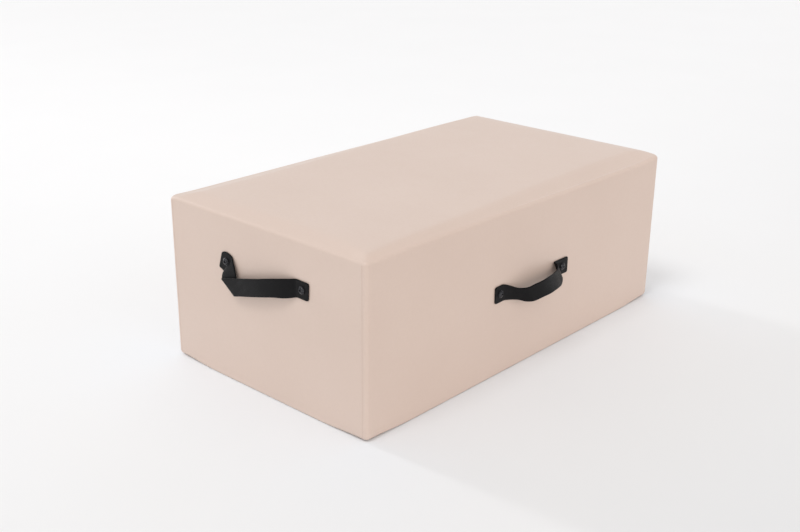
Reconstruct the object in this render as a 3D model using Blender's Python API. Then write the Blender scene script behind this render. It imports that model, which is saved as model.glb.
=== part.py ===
# Padded pilates sitting box: plywood carcass, foam, fitted vinyl cover and four webbing handles.
# Units are metres. The origin is on the floor under the middle of the box, +X along its length, +Z up.

import math

import bmesh
import bpy
from mathutils import Matrix, Vector

# Overall size, over the cover and down to the floor
BOX_LENGTH = 0.780
BOX_WIDTH = 0.442
BOX_HEIGHT = 0.292

# Thickness of each layer
VINYL = 0.0012
SIDE_FOAM = 0.006
TOP_FOAM = 0.038
DECK_PLY = 0.012
WALL_PLY = 0.012
BASE_PLY = 0.009
DUST_CLOTH = 0.0006
GAP = 0.0003  # clearance between pieces that lie against each other

# Form of the padded cover
SOFT_EDGE = 0.0072  # upright corners, in plan
BASE_ROUND = 0.004  # where the cover turns under the box
HEM = 0.030  # cover turned in under the base board
HEM_RADIUS = 0.0032
TOP_ROUND = 0.008  # roll of the top edge, halfway along a side
CORNER_ROUND = 0.010  # roll of the top edge at a corner
EDGE_CROWN = 0.0085  # how far the top edge lies below the seat, halfway along a side
CORNER_CROWN = 0.0105  # the same at a corner
CORNER_BLEND = 0.090  # length over which a side's edge turns into a corner's
SEAT_INSET = 0.062  # from the outside to the flat of the seat
SEAT_RADIUS = 0.045
ROLL_RADIUS = 0.012  # plan radius of the corner at the top of its roll

# Plywood carcass
BLOCK = 0.028  # corner blocks, square

# Feet
FOOT_HEIGHT = 0.003
FOOT_RADIUS = 0.019
FOOT_CHAMFER = 0.0008
FOOT_INSET = 0.056

# Countersunk wood screws
SCREW_HEAD = 0.0035
SCREW_RADIUS = 0.00175
SCREW_TIP = 0.0006
SCREW_TAPER = 0.003
DECK_SCREW_LENGTH = 0.032
DECK_SCREW_INSET = 0.065  # from a corner of the deck to its nearest screw
FOOT_SCREW_LENGTH = 0.009

# Webbing handles
STRAP_WIDTH = 0.029
STRAP_THICK = 0.0018
HANDLE_SPACING = 0.172  # between the two bolts
BOW_TAB = 0.0135  # side strap left past a bolt
SIDE_HANDLE_DROP = 0.1475  # from the seat down to the bolts
SIDE_HANDLE_SHIFT = 0.002  # off the middle of the box, to the right as seen from outside
END_HANDLE_DROP = 0.0867
END_HANDLE_SHIFT = 0.006

# Flanged button head bolts and tee nuts
BOLT_RADIUS = 0.003
BOLT_HEAD_RADIUS = 0.0055
BOLT_HEAD_HEIGHT = 0.0032
BOLT_TAIL = 0.001  # past the tee nut
HEX_SOCKET_RADIUS = 0.002
HEX_SOCKET_DEPTH = 0.0016
BOLT_FLANGE_RADIUS = 0.0064
BOLT_FLANGE_THICK = 0.0008
TEE_FLANGE_RADIUS = 0.0095
TEE_FLANGE_THICK = 0.0012
TEE_BARREL_RADIUS = 0.0039
TEE_BARREL_LENGTH = 0.009

# Facets
CORNER_FACETS = 4
ROLL_FACETS = 5
SEAT_FACETS = 3
FOOT_FACETS = 24
BOLT_FACETS = 12
SCREW_FACETS = 8
STRAP_STEPS = 2
BLEND_STEPS = (1.0, 0.66, 0.4, 0.18)  # shares of the corner blend where the cover has columns
BASE_STEPS = (0.0, math.pi / 4, math.pi / 2)
DOME_STEPS = (0.0, math.radians(35), math.radians(62))  # up a bolt's head
SMOOTH_BELOW = 40  # degrees between facets that are shaded as one surface
CUTTER_RISE = 0.002  # how far a screw hole's cutter stands out of what it cuts

# Levels and outlines worked out from the sizes above
HALF_X = BOX_LENGTH / 2
HALF_Y = BOX_WIDTH / 2
SKIN = VINYL + GAP
FRAME_INSET = SKIN + SIDE_FOAM + GAP
FRAME_X = HALF_X - FRAME_INSET
FRAME_Y = HALF_Y - FRAME_INSET
CLOTH_LEVEL = FOOT_HEIGHT + GAP
HEM_LEVEL = CLOTH_LEVEL + DUST_CLOTH + GAP
BASE_LEVEL = HEM_LEVEL + SKIN
WALL_LEVEL = BASE_LEVEL + BASE_PLY + GAP
FOAM_LEVEL = BOX_HEIGHT - SKIN - TOP_FOAM
DECK_LEVEL = FOAM_LEVEL - GAP - DECK_PLY
WALL_TOP = DECK_LEVEL - GAP

# A handle's strap. A point is (along, up, off) its face, from the middle of its two bolts, in shares of the
# way from there to a bolt. The side straps bow out in one loop, upright across their width.
BOLT_REACH = HANDLE_SPACING / 2
SIDE_BOLT_LEVEL = BOX_HEIGHT - SIDE_HANDLE_DROP
END_BOLT_LEVEL = BOX_HEIGHT - END_HANDLE_DROP
FLAT = GAP + STRAP_THICK / 2
BOW_LEAVES = (-0.860, 0.895)
BOW_LOOP = (
    (-0.709, -0.012, 0.058),
    (-0.500, -0.035, 0.180),
    (-0.233, -0.070, 0.291),
    (0.047, -0.081, 0.331),
    (0.326, -0.070, 0.331),
    (0.523, -0.047, 0.291),
    (0.674, -0.023, 0.198),
    (0.791, -0.012, 0.093),
)
BOW_GRIP = (2, 6)  # the grip's first and last points, counted with the leaving point as 0

# The end straps hang down from the left bolt, fold over and rise to the right bolt. Each row has a point on
# the middle line, then the way from there to the edge that starts as the upper one, in half strap widths.
FOLD_TAB_LEFT = ((-1.160, 0.0052), (0.293, 0.955))
FOLD_LEAVES_LEFT = ((-0.942, -0.0581), (0.759, 0.966))
FOLD_LOOP = (
    ((-0.910, -0.1483, 0.0494), (1.052, 0.672, 0.017)),
    ((-0.869, -0.2907, 0.0738), (1.190, 0.000, 0.010)),
    ((-0.875, -0.4331, 0.1023), (1.017, -0.707, 0.000)),
    ((-0.814, -0.4215, 0.1302), (0.966, -0.776, 0.000)),
    ((-0.523, -0.3343, 0.1465), (0.345, -0.934, 0.000)),
    ((-0.227, -0.2523, 0.1663), (0.310, -0.945, 0.007)),
    ((0.068, -0.1756, 0.1721), (0.286, -0.972, -0.014)),
    ((0.355, -0.1064, 0.1488), (0.241, -0.990, -0.028)),
    ((0.567, -0.0645, 0.1105), (0.190, -1.038, -0.034)),
    ((0.727, -0.0308, 0.0616), (0.103, -1.038, -0.021)),
)
FOLD_LEAVES_RIGHT = ((0.866, -0.0023), (0.034, -1.000))
FOLD_TAB_RIGHT = ((1.166, -0.0035), (-0.052, -1.000))
FOLD_GRIP = (5, 8)


def clear_scene():
    for found in list(bpy.data.objects):
        bpy.data.objects.remove(found, do_unlink=True)


def material(name, colour, roughness, metallic=0.0):
    made = bpy.data.materials.new(name)
    made.use_nodes = True
    shader = made.node_tree.nodes["Principled BSDF"]
    shader.inputs["Base Color"].default_value = (*colour, 1.0)
    shader.inputs["Roughness"].default_value = roughness
    shader.inputs["Metallic"].default_value = metallic
    made.diffuse_color = (*colour, 1.0)
    return made


def solid(name, shape, finish, smooth=False):
    """Turn a bmesh into a named object with its own material."""
    bmesh.ops.recalc_face_normals(shape, faces=shape.faces)
    mesh = bpy.data.meshes.new(name)
    shape.to_mesh(mesh)
    shape.free()
    mesh.materials.append(finish)
    if smooth:
        mesh.shade_smooth()
        mesh.set_sharp_from_angle(angle=math.radians(SMOOTH_BELOW))
    made = bpy.data.objects.new(name, mesh)
    bpy.context.collection.objects.link(made)
    return made


def add_block(shape, low, high):
    """A plain box between two corners."""
    size = [b - a for a, b in zip(low, high)]
    middle = [(a + b) / 2 for a, b in zip(low, high)]
    place = Matrix.Translation(middle) @ Matrix.Diagonal((*size, 1.0))
    bmesh.ops.create_cube(shape, size=1.0, matrix=place)


def add_turned(shape, profile, facets, place, closed=False):
    """Turn a profile of (radius, height) points about the local Z axis of place.
    An open profile starts and ends on the axis; a closed one makes a ring."""
    rings = []
    for radius, height in profile:
        if radius == 0.0:
            rings.append([shape.verts.new(place @ Vector((0.0, 0.0, height)))])
            continue
        ring = []
        for step in range(facets):
            angle = 2 * math.pi * (step + 0.5) / facets
            point = Vector((radius * math.cos(angle), radius * math.sin(angle), height))
            ring.append(shape.verts.new(place @ point))
        rings.append(ring)
    pairs = list(zip(rings, rings[1:]))
    if closed:
        pairs.append((rings[-1], rings[0]))
    for lower, upper in pairs:
        for step in range(facets):
            after = (step + 1) % facets
            corners = [lower[step % len(lower)], lower[after % len(lower)]]
            corners += [upper[after % len(upper)], upper[step % len(upper)]]
            distinct = list(dict.fromkeys(corners))
            shape.faces.new(distinct)


def bridge(shape, lower, upper):
    count = len(lower)
    for step in range(count):
        after = (step + 1) % count
        shape.faces.new((lower[step], lower[after], upper[after], upper[step]))


def cutter(name, shape):
    bmesh.ops.recalc_face_normals(shape, faces=shape.faces)
    mesh = bpy.data.meshes.new(name)
    shape.to_mesh(mesh)
    shape.free()
    made = bpy.data.objects.new(name, mesh)
    made.hide_render = True
    made.display_type = "WIRE"
    bpy.context.collection.objects.link(made)
    return made


def cut(target, tool):
    change = target.modifiers.new("cut by " + tool.name, "BOOLEAN")
    change.operation = "DIFFERENCE"
    change.solver = "EXACT"
    change.object = tool


# The padded form. A ring is a rounded rectangle with one point for each column.
# A column is (quadrant signs, kind, value, weight): the weight is 1 at a corner and 0 along a side.

def corner_weight(distance):
    t = min(1.0, distance / CORNER_BLEND)
    return 1.0 - t * t * (3.0 - 2.0 * t)


def ring_columns():
    columns = []
    blend_steps = [CORNER_BLEND * share for share in BLEND_STEPS]
    signs = ((1, 1), (-1, 1), (-1, -1), (1, -1))
    for quadrant, (sx, sy) in enumerate(signs):
        kinds = ("faces x", "faces y") if quadrant % 2 == 0 else ("faces y", "faces x")
        halves = [HALF_Y if kind == "faces x" else HALF_X for kind in kinds]
        before = [(0.0, 0.0)]
        before += [(1 - s / (halves[0] - SOFT_EDGE), corner_weight(s)) for s in blend_steps]
        after = [(1 - s / (halves[1] - SOFT_EDGE), corner_weight(s)) for s in reversed(blend_steps)]
        columns += [(sx, sy, kinds[0], share, weight) for share, weight in before]
        for step in range(CORNER_FACETS + 1):
            angle = math.pi / 2 * (quadrant + step / CORNER_FACETS)
            columns.append((sx, sy, "arc", angle, 1.0))
        columns += [(sx, sy, kinds[1], share, weight) for share, weight in after]
    return columns


COLUMNS = ring_columns()


def ring_point(column, inset_of, radius, level_of):
    """Where a column crosses a ring: inset_of and level_of take a corner weight."""
    sx, sy, kind, value, weight = column
    centre_x = HALF_X - inset_of(1.0) - radius
    centre_y = HALF_Y - inset_of(1.0) - radius
    level = level_of(weight)
    if kind == "arc":
        x = sx * centre_x + radius * math.cos(value)
        y = sy * centre_y + radius * math.sin(value)
        return Vector((x, y, level))
    if kind == "faces x":
        return Vector((sx * (HALF_X - inset_of(weight)), sy * centre_y * value, level))
    return Vector((sx * centre_x * value, sy * (HALF_Y - inset_of(weight)), level))


def blend(side, corner):
    return lambda weight: side + (corner - side) * weight


def same(value):
    return lambda weight: value


def top_rings(depth):
    """Rings over the top edge and onto the seat, for a surface that lies depth inside the cover."""
    edge_round = min(TOP_ROUND, TOP_FOAM - EDGE_CROWN)
    roll = blend(edge_round, CORNER_ROUND)
    crown = blend(EDGE_CROWN, CORNER_CROWN)
    rings = []
    for step in range(ROLL_FACETS + 1):
        angle = math.pi / 2 * step / ROLL_FACETS
        turned = 1 - math.cos(angle)
        lifted = 1 - math.sin(angle)
        radius = SOFT_EDGE + (ROLL_RADIUS - SOFT_EDGE) * turned - depth * math.cos(angle)
        rings.append((
            lambda w, turned=turned: depth + (roll(w) - depth) * turned,
            radius,
            lambda w, lifted=lifted: BOX_HEIGHT - depth - crown(w) - (roll(w) - depth) * lifted,
        ))
    for step in range(1, SEAT_FACETS + 1):
        share = step / SEAT_FACETS
        rings.append((
            lambda w, share=share: roll(w) + (SEAT_INSET - roll(w)) * share,
            ROLL_RADIUS + (SEAT_RADIUS - ROLL_RADIUS) * share,
            lambda w, share=share: BOX_HEIGHT - depth - crown(w) * (1 - share) ** 2,
        ))
    return rings


def base_rings(depth):
    """Rings from the inner edge of the hem, round the bottom edge and onto the sides."""
    under = HEM_LEVEL + depth
    rings = [(same(HEM), HEM_RADIUS, same(under))]
    for angle in BASE_STEPS:
        inset = BASE_ROUND - (BASE_ROUND - depth) * math.sin(angle)
        level = HEM_LEVEL + BASE_ROUND - (BASE_ROUND - depth) * math.cos(angle)
        radius = HEM_RADIUS + (SOFT_EDGE - depth - HEM_RADIUS) * math.sin(angle)
        rings.append((same(inset), radius, same(level)))
    return rings


def place_rings(shape, rings):
    placed = []
    for inset_of, radius, level_of in rings:
        placed.append([shape.verts.new(ring_point(c, inset_of, radius, level_of)) for c in COLUMNS])
    return placed


def make_cover(finish):
    """One vinyl skin: seat, sides and the hem that turns in under the base board."""
    shape = bmesh.new()
    outside = place_rings(shape, base_rings(0.0) + top_rings(0.0))
    inside = place_rings(shape, base_rings(VINYL) + top_rings(VINYL))
    for surface in (outside, inside):
        for lower, upper in zip(surface, surface[1:]):
            bridge(shape, lower, upper)
        shape.faces.new(surface[-1])
    bridge(shape, outside[0], inside[0])
    return solid("cover", shape, finish, smooth=True)


def make_top_foam(finish):
    shape = bmesh.new()
    bottom = (same(SKIN), SOFT_EDGE - SKIN, same(FOAM_LEVEL))
    surface = place_rings(shape, [bottom] + top_rings(SKIN))
    for lower, upper in zip(surface, surface[1:]):
        bridge(shape, lower, upper)
    shape.faces.new(surface[0])
    shape.faces.new(surface[-1])
    return solid("top_foam", shape, finish, smooth=True)


def make_side_foam(name, quadrant, finish):
    """Foam on one wall, mitred against its neighbours, with half of each upright corner."""
    long_wall = quadrant % 2 == 0
    half = HALF_X if long_wall else HALF_Y
    reach = HALF_Y if long_wall else HALF_X
    mitre = GAP / math.sqrt(2)
    base_round = BASE_ROUND - SKIN
    radius = SOFT_EDGE - SKIN
    shape = bmesh.new()
    rings = []
    sections = [(base_round * (1 - math.sin(a)), BASE_LEVEL + base_round * (1 - math.cos(a)))
                for a in BASE_STEPS]
    sections.append((0.0, FOAM_LEVEL - GAP))
    for inset, level in sections:
        outer = SKIN + inset
        corner = radius - inset
        centre_along = half - outer - corner
        centre_across = reach - outer - corner
        points = [(half - SKIN - SIDE_FOAM, reach - SKIN - SIDE_FOAM)]
        for step in range(CORNER_FACETS // 2 + 1):
            angle = math.pi / 4 * (1 + step / (CORNER_FACETS // 2))
            points.append((centre_along + corner * math.cos(angle), centre_across + corner * math.sin(angle)))
        right = [(along - mitre, across) for along, across in points]
        left = [(-along, across) for along, across in reversed(right)]
        rings.append([shape.verts.new((-along, -across, level)) for along, across in right + left])
    for lower, upper in zip(rings, rings[1:]):
        bridge(shape, lower, upper)
    shape.faces.new(rings[0])
    shape.faces.new(rings[-1])
    bmesh.ops.rotate(shape, verts=shape.verts, matrix=Matrix.Rotation(math.pi / 2 * quadrant, 3, "Z"))
    return solid(name, shape, finish, smooth=True)


# Fasteners

def screw_profile(length, clearance=0.0, above=0.0):
    """Countersunk screw with its head's face at height 0 and its point below; clearance makes it a hole."""
    taper_end = -(SCREW_HEAD - SCREW_RADIUS)
    profile = [(0.0, above)]
    profile.append((SCREW_HEAD + clearance, above))
    if above > 0.0:
        profile.append((SCREW_HEAD + clearance, 0.0))
    profile.append((SCREW_RADIUS + clearance, taper_end))
    profile.append((SCREW_RADIUS + clearance, SCREW_TAPER - length))
    profile.append((SCREW_TIP + clearance, -length - clearance))
    profile.append((0.0, -length - clearance))
    return profile


def make_screw(name, place, length, finish):
    shape = bmesh.new()
    add_turned(shape, screw_profile(length), SCREW_FACETS, Matrix.Identity(4))
    solid(name, shape, finish).matrix_world = place


def screw_holes(name, places, length):
    shape = bmesh.new()
    for place in places:
        add_turned(shape, screw_profile(length, GAP, above=CUTTER_RISE), SCREW_FACETS, place)
    return cutter(name, shape)


def bores(name, places, radius, start, end):
    """Straight holes along each place's Z axis, from height start to height end."""
    shape = bmesh.new()
    for place in places:
        profile = [(0.0, start), (radius, start), (radius, end), (0.0, end)]
        add_turned(shape, profile, BOLT_FACETS, place)
    return cutter(name, shape)


def facing(point, outward):
    """A place whose Z axis points outward, turned the same way for everything on that axis."""
    turn = Vector(outward).to_track_quat("Z", "Y").to_matrix().to_4x4()
    return Matrix.Translation(point) @ turn


# Webbing

def through(points, steps):
    """A smooth run through points, which leaves and meets the flat tabs along the face."""
    first = Vector((2 * points[0][0] - points[1][0], 2 * points[0][1] - points[1][1], points[1][2]))
    last = Vector((2 * points[-1][0] - points[-2][0], 2 * points[-1][1] - points[-2][1], points[-2][2]))
    held = [first] + [Vector(p) for p in points] + [last]
    run = []
    for a, b, c, d in zip(held, held[1:], held[2:], held[3:]):
        for step in range(steps):
            t = step / steps
            bend = (2 * a - 5 * b + 4 * c - d) * t * t + (3 * b - a - 3 * c + d) * t ** 3
            run.append(b + ((c - a) * t + bend) / 2)
    run.append(held[-2])
    return run


def strap_sections(loop, leaves, tabs):
    """Both edges of a strap, from cut end to cut end. Each row is a pair of points on its middle plane."""
    edges = []
    for side in (0, 1):
        flat_in = Vector((*leaves[0][side], FLAT))
        flat_out = Vector((*leaves[1][side], FLAT))
        run = through([flat_in] + [row[side] for row in loop] + [flat_out], STRAP_STEPS)
        edges.append([Vector((*tabs[0][side], FLAT))] + run + [Vector((*tabs[1][side], FLAT))])
    return list(zip(*edges))


def shortened(sections, at_start, at_end):
    """The same sections with an end drawn back by the clearance to the next piece."""
    sections = list(sections)
    for wanted, end, inner in ((at_start, 0, 1), (at_end, -1, -2)):
        if wanted:
            pairs = zip(sections[end], sections[inner])
            sections[end] = tuple(p + (q - p).normalized() * GAP for p, q in pairs)
    return sections


def add_strap(shape, sections):
    """A strap of even thickness on its middle plane."""
    rings = []
    for index, (upper, lower) in enumerate(sections):
        before = sections[max(index - 1, 0)]
        after = sections[min(index + 1, len(sections) - 1)]
        along = (after[0] + after[1]) - (before[0] + before[1])
        normal = along.cross(upper - lower).normalized() * (STRAP_THICK / 2)
        corners = (upper + normal, upper - normal, lower - normal, lower + normal)
        rings.append([shape.verts.new((p.x, -p.z, p.y)) for p in corners])
    for one, two in zip(rings, rings[1:]):
        bridge(shape, one, two)
    shape.faces.new(rings[0])
    shape.faces.new(rings[-1])


def bow_sections():
    """The side handle: one loop, with its edges straight up and down."""
    half = STRAP_WIDTH / 2
    middle = [[BOLT_REACH * share for share in point] for point in BOW_LOOP]
    loop = [((u, v + half, d), (u, v - half, d)) for u, v, d in middle]
    leaves = [((u * BOLT_REACH, half), (u * BOLT_REACH, -half)) for u in BOW_LEAVES]
    cut_ends = (-BOLT_REACH - BOW_TAB, BOLT_REACH + BOW_TAB)
    tabs = [((u, half), (u, -half)) for u in cut_ends]
    return strap_sections(loop, leaves, tabs)


def edge_pair(middle, across):
    """Both edges of a strap from a row of the fold's table."""
    half = STRAP_WIDTH / 2
    place = [BOLT_REACH * share for share in middle]
    upper = tuple(p + half * a for p, a in zip(place, across))
    lower = tuple(p - half * a for p, a in zip(place, across))
    return upper, lower


def fold_sections():
    """The end handle, which is turned over in a fold below its left bolt."""
    loop = [edge_pair(*row) for row in FOLD_LOOP]
    leaves = [edge_pair(*row) for row in (FOLD_LEAVES_LEFT, FOLD_LEAVES_RIGHT)]
    tabs = [edge_pair(*row) for row in (FOLD_TAB_LEFT, FOLD_TAB_RIGHT)]
    return strap_sections(loop, leaves, tabs)


def make_handle(name, sections, grip, place, bolt_holes, finish):
    """A strap in three solids: the grip that swings, and an end on each side that bends with it."""
    start = 1 + grip[0] * STRAP_STEPS
    end = 1 + grip[1] * STRAP_STEPS
    stretches = {
        "_left_end": shortened(sections[:start + 1], False, True),
        "_grip": sections[start:end + 1],
        "_right_end": shortened(sections[end:], True, False),
    }
    for ending, stretch in stretches.items():
        shape = bmesh.new()
        add_strap(shape, stretch)
        made = solid(name + ending, shape, finish, smooth=True)
        made.matrix_world = place
        if ending != "_grip":
            cut(made, bolt_holes)


def make_bolt(name, place, finish):
    """A button head on a flange, with a hexagon socket; its shank ends just past the tee nut."""
    seat = GAP + STRAP_THICK + GAP
    brim = seat + BOLT_FLANGE_THICK
    rim = seat + BOLT_HEAD_HEIGHT
    floor = rim - HEX_SOCKET_DEPTH
    tail = -(FRAME_INSET + WALL_PLY + GAP + TEE_FLANGE_THICK + BOLT_TAIL)
    profile = [(0.0, tail), (BOLT_RADIUS, tail), (BOLT_RADIUS, seat), (BOLT_FLANGE_RADIUS, seat)]
    profile.append((BOLT_FLANGE_RADIUS, brim))
    for angle in DOME_STEPS:
        profile.append((BOLT_HEAD_RADIUS * math.cos(angle), brim + (rim - brim) * math.sin(angle)))
    profile += [(HEX_SOCKET_RADIUS, rim), (HEX_SOCKET_RADIUS, floor), (0.0, floor)]
    shape = bmesh.new()
    add_turned(shape, profile, BOLT_FACETS, Matrix.Identity(4))
    solid(name, shape, finish, smooth=True).matrix_world = place


def make_tee_nut(name, place, finish):
    """A flange on the inside of the wall, with its barrel in the wall's hole."""
    inner = BOLT_RADIUS + GAP
    back = -(FRAME_INSET + WALL_PLY + GAP)
    profile = [
        (inner, back - TEE_FLANGE_THICK),
        (TEE_FLANGE_RADIUS, back - TEE_FLANGE_THICK),
        (TEE_FLANGE_RADIUS, back),
        (TEE_BARREL_RADIUS, back),
        (TEE_BARREL_RADIUS, back + TEE_BARREL_LENGTH),
        (inner, back + TEE_BARREL_LENGTH),
    ]
    shape = bmesh.new()
    add_turned(shape, profile, BOLT_FACETS, Matrix.Identity(4), closed=True)
    solid(name, shape, finish).matrix_world = place


def make_foot(name, x, y, finish, hole):
    shape = bmesh.new()
    profile = [
        (0.0, 0.0),
        (FOOT_RADIUS - FOOT_CHAMFER, 0.0),
        (FOOT_RADIUS, FOOT_CHAMFER),
        (FOOT_RADIUS, FOOT_HEIGHT),
        (0.0, FOOT_HEIGHT),
    ]
    add_turned(shape, profile, FOOT_FACETS, Matrix.Identity(4))
    made = solid(name, shape, finish, smooth=True)
    made.location = (x, y, 0.0)
    cut(made, hole)


def make_board(name, low, high, finish):
    shape = bmesh.new()
    add_block(shape, low, high)
    return solid(name, shape, finish)


def make_all():
    clear_scene()
    vinyl = material("vinyl", (0.66, 0.56, 0.49), 0.42)
    foam = material("foam", (0.80, 0.76, 0.62), 0.95)
    plywood = material("plywood", (0.62, 0.47, 0.30), 0.70)
    cloth = material("dust_cloth", (0.03, 0.03, 0.032), 0.90)
    rubber = material("rubber", (0.02, 0.02, 0.02), 0.75)
    webbing = material("webbing", (0.015, 0.015, 0.017), 0.60)
    dark_steel = material("dark_steel", (0.05, 0.05, 0.055), 0.35, 1.0)
    zinc = material("zinc", (0.55, 0.55, 0.56), 0.40, 1.0)

    # Where the four handles stand: turned about Z, so that each local -Y points out of its face
    faces = {
        "front": (Vector((SIDE_HANDLE_SHIFT, -HALF_Y, SIDE_BOLT_LEVEL)), 0),
        "right": (Vector((HALF_X, END_HANDLE_SHIFT, END_BOLT_LEVEL)), 1),
        "back": (Vector((-SIDE_HANDLE_SHIFT, HALF_Y, SIDE_BOLT_LEVEL)), 2),
        "left": (Vector((-HALF_X, -END_HANDLE_SHIFT, END_BOLT_LEVEL)), 3),
    }
    bolt_places = {}
    for side, (middle, quarter) in faces.items():
        turn = Matrix.Rotation(math.pi / 2 * quarter, 4, "Z")
        outward = turn @ Vector((0.0, -1.0, 0.0))
        reach = turn @ Vector((BOLT_REACH, 0.0, 0.0))
        bolt_places[side] = [facing(middle - reach, outward), facing(middle + reach, outward)]
    every_bolt = [place for places in bolt_places.values() for place in places]
    past_all = FRAME_INSET + WALL_PLY + BLOCK
    strap_holes = bores("strap_holes", every_bolt, BOLT_RADIUS + GAP, -VINYL - GAP / 2, past_all)
    foam_holes = bores("foam_holes", every_bolt, BOLT_RADIUS + GAP, -FRAME_INSET + GAP / 2, past_all)
    wall_holes = bores("wall_holes", every_bolt, TEE_BARREL_RADIUS + GAP, -past_all, SKIN)

    for side, (middle, quarter) in faces.items():
        place = Matrix.Translation(middle) @ Matrix.Rotation(math.pi / 2 * quarter, 4, "Z")
        sections, grip = (bow_sections(), BOW_GRIP) if quarter % 2 == 0 else (fold_sections(), FOLD_GRIP)
        make_handle(side + "_handle", sections, grip, place, strap_holes, webbing)
        for hand, bolt_place in zip(("left", "right"), bolt_places[side]):
            make_bolt(f"{side}_handle_{hand}_bolt", bolt_place, dark_steel)
            make_tee_nut(f"{side}_handle_{hand}_tee_nut", bolt_place, zinc)

    # Cover and foam
    cut(make_cover(vinyl), strap_holes)
    make_top_foam(foam)
    for quadrant, side in enumerate(("front", "right", "back", "left")):
        cut(make_side_foam(side + "_side_foam", quadrant, foam), foam_holes)

    # Screws through the deck into the long walls
    wall_middle = FRAME_Y - WALL_PLY / 2
    outermost = FRAME_X - DECK_SCREW_INSET
    deck_spots = [(x, sy * wall_middle) for sy in (-1, 1) for x in (-outermost, 0.0, outermost)]
    deck_screws = [Matrix.Translation((x, y, FOAM_LEVEL - GAP)) for x, y in deck_spots]
    deck_holes = screw_holes("deck_screw_holes", deck_screws, DECK_SCREW_LENGTH)
    for count, place in enumerate(deck_screws, start=1):
        make_screw(f"deck_screw_{count}", place, DECK_SCREW_LENGTH, zinc)

    # Plates and walls
    top = (FRAME_X, FRAME_Y, FOAM_LEVEL - GAP)
    deck = make_board("deck_board", (-FRAME_X, -FRAME_Y, DECK_LEVEL), top, plywood)
    cut(deck, deck_holes)
    base_top = (FRAME_X, FRAME_Y, BASE_LEVEL + BASE_PLY)
    base = make_board("base_board", (-FRAME_X, -FRAME_Y, BASE_LEVEL), base_top, plywood)
    inner_x = FRAME_X - WALL_PLY
    inner_y = FRAME_Y - WALL_PLY
    walls = {
        "front_wall": ((-FRAME_X, -FRAME_Y), (FRAME_X, -inner_y)),
        "back_wall": ((-FRAME_X, inner_y), (FRAME_X, FRAME_Y)),
        "left_wall": ((-FRAME_X, GAP - inner_y), (-inner_x, inner_y - GAP)),
        "right_wall": ((inner_x, GAP - inner_y), (FRAME_X, inner_y - GAP)),
    }
    for name, (low, high) in walls.items():
        wall = make_board(name, (*low, WALL_LEVEL), (*high, WALL_TOP), plywood)
        for tool in (deck_holes, wall_holes):
            cut(wall, tool)
    rib_low = (-WALL_PLY / 2, GAP - inner_y, WALL_LEVEL)
    rib_high = (WALL_PLY / 2, inner_y - GAP, WALL_TOP)
    make_board("centre_rib", rib_low, rib_high, plywood)
    count = 0
    for sx in (-1, 1):
        for sy in (-1, 1):
            count += 1
            near = (sx * (inner_x - GAP), sy * (inner_y - GAP))
            far = (near[0] - sx * BLOCK, near[1] - sy * BLOCK)
            low = (min(near[0], far[0]), min(near[1], far[1]), WALL_LEVEL)
            high = (max(near[0], far[0]), max(near[1], far[1]), WALL_TOP)
            make_board(f"corner_block_{count}", low, high, plywood)

    # Underside: a dust cloth over the hem, and four feet screwed through it into the base board
    cloth_reach = (HALF_X - HEM / 2, HALF_Y - HEM / 2)
    low = (-cloth_reach[0], -cloth_reach[1], CLOTH_LEVEL)
    dust_cover = make_board("dust_cover", low, (*cloth_reach, CLOTH_LEVEL + DUST_CLOTH), cloth)
    foot_x = HALF_X - FOOT_INSET
    foot_y = HALF_Y - FOOT_INSET
    foot_spots = [(sx * foot_x, sy * foot_y) for sx in (-1, 1) for sy in (-1, 1)]
    foot_screws = [facing((x, y, FOOT_CHAMFER), (0, 0, -1)) for x, y in foot_spots]
    foot_holes = screw_holes("foot_screw_holes", foot_screws, FOOT_SCREW_LENGTH)
    for count, place in enumerate(foot_screws, start=1):
        make_screw(f"foot_screw_{count}", place, FOOT_SCREW_LENGTH, zinc)
    for tool_target in (dust_cover, base):
        cut(tool_target, foot_holes)
    for count, (x, y) in enumerate(foot_spots, start=1):
        make_foot(f"foot_{count}", x, y, rubber, foot_holes)


make_all()
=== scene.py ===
"""Looks of the pilates sitting box: padded cover, webbing handles, fasteners, floor, light and camera."""
import math

import bmesh
import bpy
import numpy as np
from mathutils import Matrix, Vector, noise


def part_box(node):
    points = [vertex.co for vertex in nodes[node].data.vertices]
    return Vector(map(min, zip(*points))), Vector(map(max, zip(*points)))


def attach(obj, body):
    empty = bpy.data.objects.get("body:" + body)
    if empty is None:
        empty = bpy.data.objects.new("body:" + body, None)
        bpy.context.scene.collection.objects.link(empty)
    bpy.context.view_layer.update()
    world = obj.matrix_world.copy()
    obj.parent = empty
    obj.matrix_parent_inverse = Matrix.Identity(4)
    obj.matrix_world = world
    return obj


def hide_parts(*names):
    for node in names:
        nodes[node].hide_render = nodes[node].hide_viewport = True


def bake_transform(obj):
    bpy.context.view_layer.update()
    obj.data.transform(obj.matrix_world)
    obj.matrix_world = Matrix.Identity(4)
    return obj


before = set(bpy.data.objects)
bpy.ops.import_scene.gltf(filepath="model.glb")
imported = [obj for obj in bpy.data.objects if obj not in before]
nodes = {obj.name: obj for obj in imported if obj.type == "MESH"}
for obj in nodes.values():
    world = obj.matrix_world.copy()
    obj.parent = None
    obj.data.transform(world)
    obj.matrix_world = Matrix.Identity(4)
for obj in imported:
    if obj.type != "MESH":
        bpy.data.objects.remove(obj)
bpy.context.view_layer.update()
scene = bpy.context.scene

# Sizes that part.py sets too, in metres
HALF_X = 0.390
HALF_Y = 0.221
TOP = 0.292
SOFT_EDGE = 0.0072  # radius of the upright corners
HEM = 0.030
HEM_RADIUS = 0.0032
HEM_LEVEL = 0.0042
CORNER_BLEND = 0.090
STRAP_WIDTH = 0.029
STRAP_THICK = 0.0018
GAP = 0.0003
BOLT_REACH = 0.086  # from the middle of a handle to its bolts
SIDE_PLACE = (0.002, 0.1445)  # a long face's handle: off the middle of the face, and its height
END_PLACE = (0.006, 0.2053)  # the same on an end face


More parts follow.
